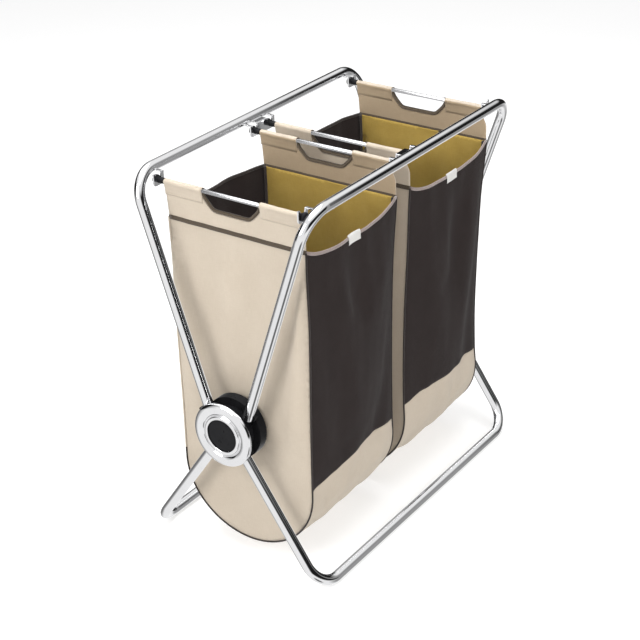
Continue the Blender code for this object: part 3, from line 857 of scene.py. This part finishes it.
def end_mesh(edge):
    """Triangles of an end's cloth. edge is the seam's (y, z), front top round to rear top.

    Returns the (y, z) points, the faces, and the indices of the seam, the band line and the
    handle's edge.
    """
    points = [tuple(p) for p in edge]
    seam = list(range(len(points)))
    front_top, rear_top = points[0], points[-1]
    points += straight(rear_top, (HEADER_HALF, HEADER_TOP)) + [(HEADER_HALF, HEADER_TOP)]
    points += straight((HEADER_HALF, HEADER_TOP), HANDLE[0])
    first = len(points)
    points += HANDLE
    handle = list(range(first, len(points)))
    points += straight(HANDLE[-1], (-HEADER_HALF, HEADER_TOP)) + [(-HEADER_HALF, HEADER_TOP)]
    points += [(-HEADER_HALF, HEADER_LOW_Z + 0.009), (-HEADER_HALF - 0.0030, HEADER_LOW_Z + 0.001)]
    points += [(front_top[0] + 0.0005, HEADER_LOW_Z - 0.008)]
    points += straight(points[-1], front_top)
    loop = list(range(len(points)))
    edges = list(zip(loop, loop[1:] + loop[:1]))
    first = len(points)
    points += straight(front_top, rear_top)
    band = [0] + list(range(first, len(points))) + [len(seam) - 1]
    edges += list(zip(band, band[1:]))
    outline = np.array(points)
    ring = np.array([points[i] for i in loop])
    ring_next = np.roll(ring, -1, axis=0)
    inside = []
    rows = int((HEADER_TOP - BOTTOM_Z) / (PANEL_STEP * ROW_RATIO))
    for i in range(1, rows + 1):
        z = BOTTOM_Z + i * PANEL_STEP * ROW_RATIO
        for j in range(-16, 17):
            y = (j + 0.5 * (i % 2)) * PANEL_STEP
            if np.min(np.hypot(outline[:, 0] - y, outline[:, 1] - z)) < EDGE_CLEAR:
                continue
            crosses = (ring[:, 1] > z) != (ring_next[:, 1] > z)
            rise = np.where(crosses, ring_next[:, 1] - ring[:, 1], 1.0)
            at = ring[:, 0] + (z - ring[:, 1]) / rise * (ring_next[:, 0] - ring[:, 0])
            if np.count_nonzero(crosses & (at > y)) % 2:
                inside.append((y, z))
    points += inside
    made = delaunay_2d_cdt([Vector(p) for p in points], edges, [], 1, 1e-7)
    source = [o[0] for o in made[3]]
    faces = [tuple(source[i] for i in f) for f in made[2]]
    return points, faces, seam, band, handle


def hang(points, faces, pinned):
    """Lets the sewn cloth hang from its rods for a moment, and returns where each point ends."""
    made = bare_object("hanging", points, faces)
    group = made.vertex_groups.new(name="rods")
    group.add([int(i) for i in pinned], 1.0, "REPLACE")
    cloth = made.modifiers.new("cloth", "CLOTH")
    for key, value in HANG_SETTINGS.items():
        setattr(cloth.settings, key, value)
    cloth.collision_settings.use_collision = False
    cloth.collision_settings.use_self_collision = False
    scene = bpy.context.scene
    for number in range(1, HANG_FRAMES + 1):
        scene.frame_set(number)
    shown = made.evaluated_get(bpy.context.evaluated_depsgraph_get())
    settled = np.array([v.co for v in shown.data.vertices])
    scene.frame_set(1)
    bpy.data.objects.remove(made, do_unlink=True)
    moved = settled - points
    size = np.linalg.norm(moved, axis=1, keepdims=True)
    # the taped top edges and the header hold their line, and the cloth below them moves freely
    free = np.clip((FREE_BELOW_Z - points[:, 2:3]) / FREE_FADE, LEAST_FREE, 1.0)
    return points + free * moved * np.minimum(1.0, HANG_LIMIT / np.maximum(size, 1e-9))


def thicken(made, thick=CLOTH_THICK, inner_skin=None):
    """Gives a cloth sheet a finer smooth mesh and its thickness. Its back may have its own skin."""
    fine = made.modifiers.new("fine", "SUBSURF")
    fine.levels = 1
    fine.render_levels = 1
    fine.boundary_smooth = "PRESERVE_CORNERS"
    shell = made.modifiers.new("thickness", "SOLIDIFY")
    shell.thickness = thick
    shell.offset = 0.0
    if inner_skin:
        made.data.materials.append(inner_skin)
        shell.material_offset = 1


def vertex_normals(points, faces):
    """Area-weighted normals of a mesh's points."""
    out = np.zeros_like(points)
    for f in faces:
        a, b, c = points[f[0]], points[f[1]], points[f[2]]
        n = np.cross(b - a, c - a)
        for i in f:
            out[i] += n
    size = np.linalg.norm(out, axis=1, keepdims=True)
    return out / np.maximum(size, 1e-12)


def part_of(points, faces, uvs):
    """The used points of some faces, the faces renumbered, and their UVs."""
    used = sorted({i for f in faces for i in f})
    number = {old: new for new, old in enumerate(used)}
    return points[used], [tuple(number[i] for i in f) for f in faces], [uvs[i] for i in used]


def eased(path, rounds=2):
    """A path with its small kinks evened out and its ends kept."""
    line = np.array([tuple(p) for p in path], float)
    for _ in range(rounds):
        line[1:-1] = 0.25 * line[:-2] + 0.5 * line[1:-1] + 0.25 * line[2:]
    return line


STITCH = 0.0026
STITCH_PITCH = 0.0036
THREAD_R = 0.0004
# along the stitch: how far, how deep below the top and how wide, the last two in thread radii
STITCH_RINGS = ((0.0, 0.7, 0.55), (0.22, 0.15, 1.0), (0.78, 0.15, 1.0), (1.0, 0.7, 0.55))


def stitches(name, path, lift, skin, body, slot_name):
    """A row of machine stitches, each a short rounded thread that stands off the path by lift."""
    path = np.array([tuple(p) for p in path])
    spans = np.linalg.norm(np.diff(path, axis=0), axis=1)
    at = np.concatenate([[0.0], np.cumsum(spans)])
    lift = Vector(lift)
    points, faces, uvs = [], [], []
    for k in range(int((at[-1] - 0.002) / STITCH_PITCH)):
        start = 0.001 + k * STITCH_PITCH
        a, b = (
            Vector([np.interp(start + d, at, path[:, axis]) for axis in range(3)])
            for d in (0.0, STITCH)
        )
        ahead = (b - a).normalized()
        aside = ahead.cross(lift).normalized()
        out = aside.cross(ahead)
        if out.dot(lift) < 0:
            out = -out
        first = len(points)
        for f, sink, half in STITCH_RINGS:
            centre = a.lerp(b, f) + lift - out * (sink * THREAD_R)
            for i in range(6):
                turn = math.pi * i / 3
                around = aside * math.cos(turn) + out * math.sin(turn)
                points.append(centre + around * (THREAD_R * half))
                uvs.append((start + f * STITCH, i * 0.0004))
        faces += [tuple(first + i for i in f) for f in tube_faces(len(STITCH_RINGS), 6)]
    return outward(make_piece(name, points, faces, skin, body, slot_name, uvs))


def build_bag(bag, middle, seed):
    """A bag's cloth after it has hung: points, UVs, the wrap's faces and the two ends."""
    near_x, far_x = middle - ROD_SPREAD, middle + ROD_SPREAD
    wrap = wrap_rest(bag, near_x, seed)
    points = [tuple(p) for p in wrap.reshape(-1, 3)]
    uvs = []
    travelled = 0.0
    for r in range(ROWS):
        if r:
            travelled += math.dist(PROFILE[r][:2], PROFILE[r - 1][:2])
        uvs += [(c / (COLUMNS - 1) * WIDTH, travelled) for c in range(COLUMNS)]
    # a face of the grid points into the bag, so each is turned round
    wrap_faces = [f[::-1] for f in grid_faces(ROWS, COLUMNS)]
    ends = {}
    pinned = []
    for end_name, x, column, out in (("left", near_x, 0, -1), ("right", far_x, COLUMNS - 1, 1)):
        edge = [(wrap[r, column, 1], wrap[r, column, 2]) for r in range(ROWS)]
        flat, faces, seam, band, handle = end_mesh(edge)
        index = [r * COLUMNS + column for r in range(ROWS)]
        for y, z in flat[len(seam):]:
            index.append(len(points))
            stands = end_relief(y, z, seed + 11.0 + column, x * out > 0.1)
            points.append((x + out * stands, y, z))
            uvs.append((y, z))
            if z > SLEEVE_LOW_Z - 0.002:
                pinned.append(index[-1])
        faces = [tuple(index[i] for i in f) for f in faces]
        faces = [f if out * turned(points, f) > 0 else f[::-1] for f in faces]
        ends[end_name] = {
            "faces": faces, "x": x, "out": out,
            "lined": [f for f in faces if max(points[i][2] for i in f) < TOP_Z + 0.001],
            "seam": [index[i] for i in seam], "band": [index[i] for i in band],
            "handle": [index[i] for i in handle],
        }
    points = np.array(points)
    every = wrap_faces + ends["left"]["faces"] + ends["right"]["faces"]
    points = hang(points, every, pinned)
    # the cloth lies against the inner faces of the hubs, not in them
    beside_hub = np.hypot(points[:, 1], points[:, 2] - PIVOT_Z) < DISC_R + 0.012
    limit = DISC_IN - HUB_CLEAR
    points[beside_hub, 0] = np.clip(points[beside_hub, 0], -limit, limit)
    return points, uvs, wrap_faces, ends


def turned(points, face):
    """The x part of a face's normal."""
    a, b, c = (points[i] for i in face[:3])
    return (b[1] - a[1]) * (c[2] - a[2]) - (b[2] - a[2]) * (c[1] - a[1])


PER_ROW = COLUMNS - 1
LAST_SEAM = ROWS - 1 - SEAM_ROW
OUTWARD = np.stack([np.zeros(ROWS), PROFILE[:, 2], PROFILE[:, 3]], axis=1)


def bag_sheets(bag, points, uvs, wrap_faces, ends):
    """The panels, the bottom, the ends and the lining."""
    def sheet(part, faces, skin, slot_name, at=points):
        some, renumbered, some_uvs = part_of(at, faces, uvs)
        return make_piece(
            f"{bag}_{part}_cloth", some, renumbered, skin, bag, slot_name, some_uvs, f"{bag}_{part}",
        )

    belly = wrap_faces[SEAM_ROW * PER_ROW : LAST_SEAM * PER_ROW]
    for part, faces, skin, slot_name, long in (
        ("front_panel", wrap_faces[: SEAM_ROW * PER_ROW], DARK_CLOTH, "dark_cloth", 0.490),
        ("bottom", belly, CANVAS, "canvas", 0.495),
        ("rear_panel", wrap_faces[LAST_SEAM * PER_ROW :], DARK_CLOTH, "dark_cloth", 0.490),
    ):
        made = sheet(part, faces, skin, slot_name)
        thicken(made)
    for end_name, end in ends.items():
        made = sheet(f"{end_name}_end", end["faces"], CANVAS, "canvas")
        # the ends' inner faces take the darker canvas, painted shade
        thicken(made, inner_skin=CANVAS_INSIDE_SHADED)

    # the lining is the belly and the ends below their bands, a little inside the canvas
    lined = belly + ends["left"]["lined"] + ends["right"]["lined"]
    inside = points - LINING_IN * vertex_normals(points, lined)
    made = sheet("lining", lined, GOLD, "gold_lining", inside)
    thicken(made, LINING_THICK)


def sleeve_section():
    """A rod sleeve's (x, z) section: round over the rod, with its two layers sewn together below."""
    section = []
    for i in range(25):
        angle = math.radians(-42 + 264 * i / 24)
        section.append((0.0056 * math.cos(angle), 0.0056 * math.sin(angle)))
    taper = [
        (0.0034, -0.0075), (0.0024, -0.0125), (0.0015, -0.0190), (0.0011, SLEEVE_LOW_Z - ROD_Z),
    ]
    return section + [(-u, v) for u, v in taper] + taper[::-1]


SLEEVE_SECTION = sleeve_section()
SLEEVES = (("rear", HANDLE_TOP + 0.001, HEADER_HALF), ("front", -HEADER_HALF, -HANDLE_TOP - 0.001))
SLEEVE_STEPS = 22
UPWARD, ALONG = (0, 0, 1), (1, 0, 0)


def rod_sleeve(name, bag, x, out, first, last, seed):
    points, uvs = [], []
    for i in range(SLEEVE_STEPS + 1):
        y = first + (last - first) * i / SLEEVE_STEPS
        for k, (u, v) in enumerate(SLEEVE_SECTION):
            ripple = 0.0007 * noise.noise(Vector((u * 300, y * 60, v * 120 + seed)))
            grow = 1 + ripple / 0.006
            points.append((x + u * grow, y, ROD_Z + v * (grow if v > -0.006 else 1)))
            uvs.append((y, k * 0.0016))
    faces = tube_faces(SLEEVE_STEPS + 1, len(SLEEVE_SECTION))
    made = outward(make_piece(name, points, faces, CANVAS, bag, "canvas", uvs))
    flat_caps(made)
    # the sleeve's inward faces below the rod take the darker canvas, painted shade
    made.data.materials.append(CANVAS_INSIDE_SHADED)
    for face in made.data.polygons:
        if face.normal.x * out < -0.5 and face.center.z < ROD_Z + 0.002:
            face.material_index = 1
    hem = [(x, y, SLEEVE_LOW_Z + 0.003) for y in np.linspace(first + 0.002, last - 0.002, 12)]
    stitches(name + "_stitches", hem, (out * 0.0015, 0, 0), THREAD_LIGHT, bag, "canvas")


def end_trim(bag, end_name, end, points, seed):
    """What is sewn to one end, and its rod with the two caps."""
    x, out = end["x"], end["out"]
    prefix = f"{bag}_{end_name}"

    # the band between header and body
    band_path = eased(points[end["band"]])
    swept_piece(
        f"{prefix}_band", band_path, rounded_strip(0.0048, 0.0021), BAND, bag, "dark_cloth", UPWARD,
    )
    for edge_name, rise in (("upper", 0.0030), ("lower", -0.0030)):
        line = band_path + np.array((0, 0, rise))
        lift = (out * 0.0023, 0, 0)
        stitches(f"{prefix}_band_{edge_name}_stitches", line, lift, THREAD_DARK, bag, "dark_cloth")

    # the handle's binding runs on into the sleeves
    path = eased(points[end["handle"]], 1)
    path = [path[0] + (0, 0, 0.011), *path, path[-1] + (0, 0, 0.011)]
    strip = rounded_strip(0.0024, 0.0038)
    swept_piece(f"{prefix}_handle_binding", path, strip, BAND, bag, "dark_cloth", ALONG)
    for where, first, last in SLEEVES:
        rod_sleeve(f"{prefix}_{where}_sleeve", bag, x, out, first, last, seed)

    # piping along the seam, dark up to the belly's rear seam and canvas behind it
    seam_path = eased(points[end["seam"]])
    pipe = seam_path + 0.0008 * OUTWARD + np.array((out * 0.0012, 0, 0))
    for where, rows, skin, slot_name in (
        ("front", slice(0, LAST_SEAM + 1), PIPING, "dark_cloth"),
        ("rear", slice(LAST_SEAM, ROWS), CANVAS, "canvas"),
    ):
        swept_piece(f"{prefix}_{where}_piping", pipe[rows], circle(0.0018, 10), skin, bag, slot_name)

    # binding inside the vertical corners
    strip = rounded_strip(0.0034, 0.0014)
    for where, rows in (("front", slice(0, SEAM_ROW + 1)), ("rear", slice(LAST_SEAM, ROWS))):
        path = seam_path[rows] - 0.0050 * OUTWARD[rows] - np.array((out * 0.0048, 0, 0))
        swept_piece(f"{prefix}_{where}_inner_seam", path, strip, PIPING, bag, "dark_cloth", ALONG)

    long = ROD_TO - ROD_FROM
    lathe(
        f"{prefix}_rod", "_plated",
        [
            (0, 0), (ROD_R - 0.0005, 0), (ROD_R, 0.0005), (ROD_R, long - 0.0005),
            (ROD_R - 0.0005, long), (0, long),
        ],
        (x, ROD_FROM, ROD_Z), (0, 1, 0), STEEL, bag, "rod_steel", 32,
    )
    for where, direction, first, last in CAPS:
        lathe(
            f"{prefix}_{where}_cap", "_moulded",
            [
                (0, last), (0.0036, last - 0.0001), (0.0060, last - 0.0006), (0.0077, last - 0.0016),
                (0.0087, last - 0.0030), (0.0090, last - 0.0042), (0.0090, first + 0.0012),
                (0.0086, first + 0.0003), (0.0080, first), (0.0058, first),
                (0.0058, CAP_NECK_IN + 0.0002), (0.0056, CAP_NECK_IN), (ROD_R + 0.0003, CAP_NECK_IN),
                (ROD_R + 0.0003, last - 0.0027), (0, last - 0.0027),
            ],
            (x, 0, ROD_Z), (0, direction, 0), CAP_BLACK, bag, "cap_plastic", 48,
        )


def on_front(grid, near_x, x, down):
    """A point of the front cloth and its outward side, at x and at down from the top edge."""
    s = (x - near_x) / WIDTH * (COLUMNS - 1)
    r = down / ((TOP_Z - BELLY_Z) / SIDE_ROWS)
    c, k = min(int(s), COLUMNS - 2), min(int(r), SIDE_ROWS - 2)
    fc, fr = s - c, r - k
    a = grid[k, c] * (1 - fc) + grid[k, c + 1] * fc
    b = grid[k + 1, c] * (1 - fc) + grid[k + 1, c + 1] * fc
    normal = np.cross(grid[k, c + 1] - grid[k, c], grid[k + 1, c] - grid[k, c])
    normal /= np.linalg.norm(normal)
    return a * (1 - fr) + b * fr, normal if normal[1] < 0 else -normal


def label_tab(bag, grid, middle):
    """The label, folded over the front edge."""
    points, uvs = [], []
    columns, rows = 15, 13
    for i in range(rows):
        for j in range(columns):
            x = middle + LABEL_FROM + LABEL_WIDE * j / (columns - 1)
            along = -LABEL_OVER + LABEL_LONG * i / (rows - 1)
            lift = 0.0030 + 0.0006 * math.sin(3 * j / columns + i / 4)
            spot, normal = on_front(grid, middle - ROD_SPREAD, x, max(0.0, along))
            if along < 0:
                turn = -along / LABEL_OVER * math.pi / 2
                over = np.array((0, 0, (0.0034 + lift) * math.sin(turn)))
                spot = spot + normal * (lift * math.cos(turn)) + over
            else:
                spot = spot + normal * (lift if i < rows - 1 else lift - 0.0005)
            points.append(spot)
            uvs.append((x, along))
    faces = grid_faces(rows, columns)
    name = f"{bag}_label"
    thicken(make_piece(name + "_tab", points, faces, LABEL, bag, "label_tape", uvs, name), 0.0006)


for bag, middle, seed in (("left_bag", BAG_X[0], 4.0), ("right_bag", BAG_X[1], 9.0)):
    points, uvs, wrap_faces, ends = build_bag(bag, middle, seed)
    grid = points[: ROWS * COLUMNS].reshape(ROWS, COLUMNS, 3)
    bag_sheets(bag, points, uvs, wrap_faces, ends)
    for end_name, end in ends.items():
        end_trim(bag, end_name, end, points, seed)
    # bindings of the two free top edges; the front one is a lighter copy of the dark tape, a painted
    # sheen where light catches it
    for where, row, skin in (("front", 0, LIT_EDGE_TAPE), ("rear", ROWS - 1, PIPING)):
        tape = rounded_strip(0.0032, 0.0020)
        swept_piece(f"{bag}_{where}_edge", eased(grid[row]), tape, skin, bag, "dark_cloth", UPWARD)
    label_tab(bag, grid, middle)


# ---- floor, lights and camera
FLOOR_HALF = 14.0
corners = [(x * FLOOR_HALF, y * FLOOR_HALF, 0) for x, y in ((-1, -1), (1, -1), (1, 1), (-1, 1))]
floor = bare_object("floor", corners, [(0, 1, 2, 3)])
paint, tree, shader = new_material("studio_floor")
place = node(tree, "ShaderNodeTexCoord").outputs["Object"]
cloud = noise_at(tree, place, 3.0, 3.0)
feed(tree, shader, {
    "Base Color": mix_colour(tree, cloud, (0.60, 0.60, 0.60), (0.62, 0.62, 0.62)),
    "Emission Color": (1.0, 1.0, 1.0, 1.0), "Emission Strength": 0.53,
    "Roughness": 0.9, "Specular IOR Level": 0.1,
})
floor.data.materials.append(paint)
floor.visible_glossy = False

world = bpy.data.worlds.new("studio")
bpy.context.scene.world = world
world.use_nodes = True
sky = world.node_tree
direction = node(sky, "ShaderNodeTexCoord").outputs["Generated"]
aim = node(sky, "ShaderNodeSeparateXYZ", {"Vector": direction})


def between(value, low, low_end, high, high_end):
    """1 from low_end to high, 0 below low and above high_end."""
    return math_node(sky, "SUBTRACT", ramp(sky, value, low, low_end), ramp(sky, value, high, high_end))


# a black curtain stands round the right of the stage, and its foot shows in the chrome
curtain = between(aim.outputs["Z"], -0.26, -0.12, 0.38, 0.60)
curtain = times(sky, curtain, ramp(sky, aim.outputs["X"], -0.80, -0.55))
# light comes through where its two halves meet
gap = between(aim.outputs["X"], 0.60, 0.66, 0.745, 0.765)
curtain = times(sky, curtain, ramp(sky, gap, 0.0, 1.0, 1.0, 0.68))
dark = times(sky, curtain, 0.985)
# three dark things stand about the studio: which way, where they fade out and in, and how dark
for toward, low, high, depth in (
    ((0.70, -0.53, -0.48), 0.84, 0.96, 0.65),
    ((-0.38, -0.485, -0.79), 0.950, 0.985, 0.85),
    ((0.05, 0.95, -0.30), 0.72, 0.96, 0.80),
):
    facing = node(sky, "ShaderNodeVectorMath", {0: direction, 1: toward}, operation="DOT_PRODUCT")
    shade = times(sky, ramp(sky, facing.outputs["Value"], low, high), depth)
    dark = math_node(sky, "MAXIMUM", dark, shade)
# the camera sees plain white, and the cloth is lit a little less than the chrome mirrors
ray = node(sky, "ShaderNodeLightPath")
dark = times(sky, dark, math_node(sky, "SUBTRACT", 1.0, ray.outputs["Is Camera Ray"]))
fill = times(sky, ray.outputs["Is Diffuse Ray"], 0.42)
feed(sky, sky.nodes["Background"], {
    "Color": mix_colour(sky, dark, (1.0, 1.0, 1.0), (0.0, 0.0, 0.0)),
    "Strength": math_node(sky, "SUBTRACT", 0.95, fill),
})


def softbox(name, place, target, size_x, size_y, power, shows=True):
    light = bpy.data.lights.new(name, "AREA")
    light.shape = "RECTANGLE"
    light.size = size_x
    light.size_y = size_y
    light.energy = power
    lamp = bpy.data.objects.new(name, light)
    lamp.location = place
    lamp.visible_glossy = shows
    lamp.rotation_euler = (Vector(target) - Vector(place)).to_track_quat("-Z", "Y").to_euler()
    bpy.context.scene.collection.objects.link(lamp)


softbox("top_softbox", (-0.3, 0.2, 3.2), (0, 0, 0.3), 3.0, 2.2, 100)
softbox("left_softbox", (-2.8, 0.9, 2.0), (0, 0, 0.4), 1.4, 1.8, 52)
softbox("front_softbox", (-0.4, -3.0, 1.9), (0, 0, 0.35), 2.2, 1.4, 42, shows=False)

camera = bpy.data.cameras.new("camera")
camera.lens = 89.08
camera.sensor_width = 36
camera.clip_end = 60
eye = bpy.data.objects.new("camera", camera)
bpy.context.scene.collection.objects.link(eye)
azimuth, elevation, roll = math.radians(35.12), math.radians(-27.30), math.radians(-1.39)
level = math.cos(elevation)
forward = Vector((level * math.cos(azimuth), level * math.sin(azimuth), math.sin(elevation)))
right = forward.cross(Vector((0, 0, 1))).normalized()
above = right.cross(forward)
turned_right = right * math.cos(roll) + above * math.sin(roll)
turned_up = above * math.cos(roll) - right * math.sin(roll)
turn = Matrix((turned_right, turned_up, -forward)).transposed()
eye.matrix_world = Matrix.Translation((-2.370, -1.628, 1.860)) @ turn.to_4x4()
bpy.context.scene.camera = eye
bpy.context.scene.view_settings.view_transform = "Standard"
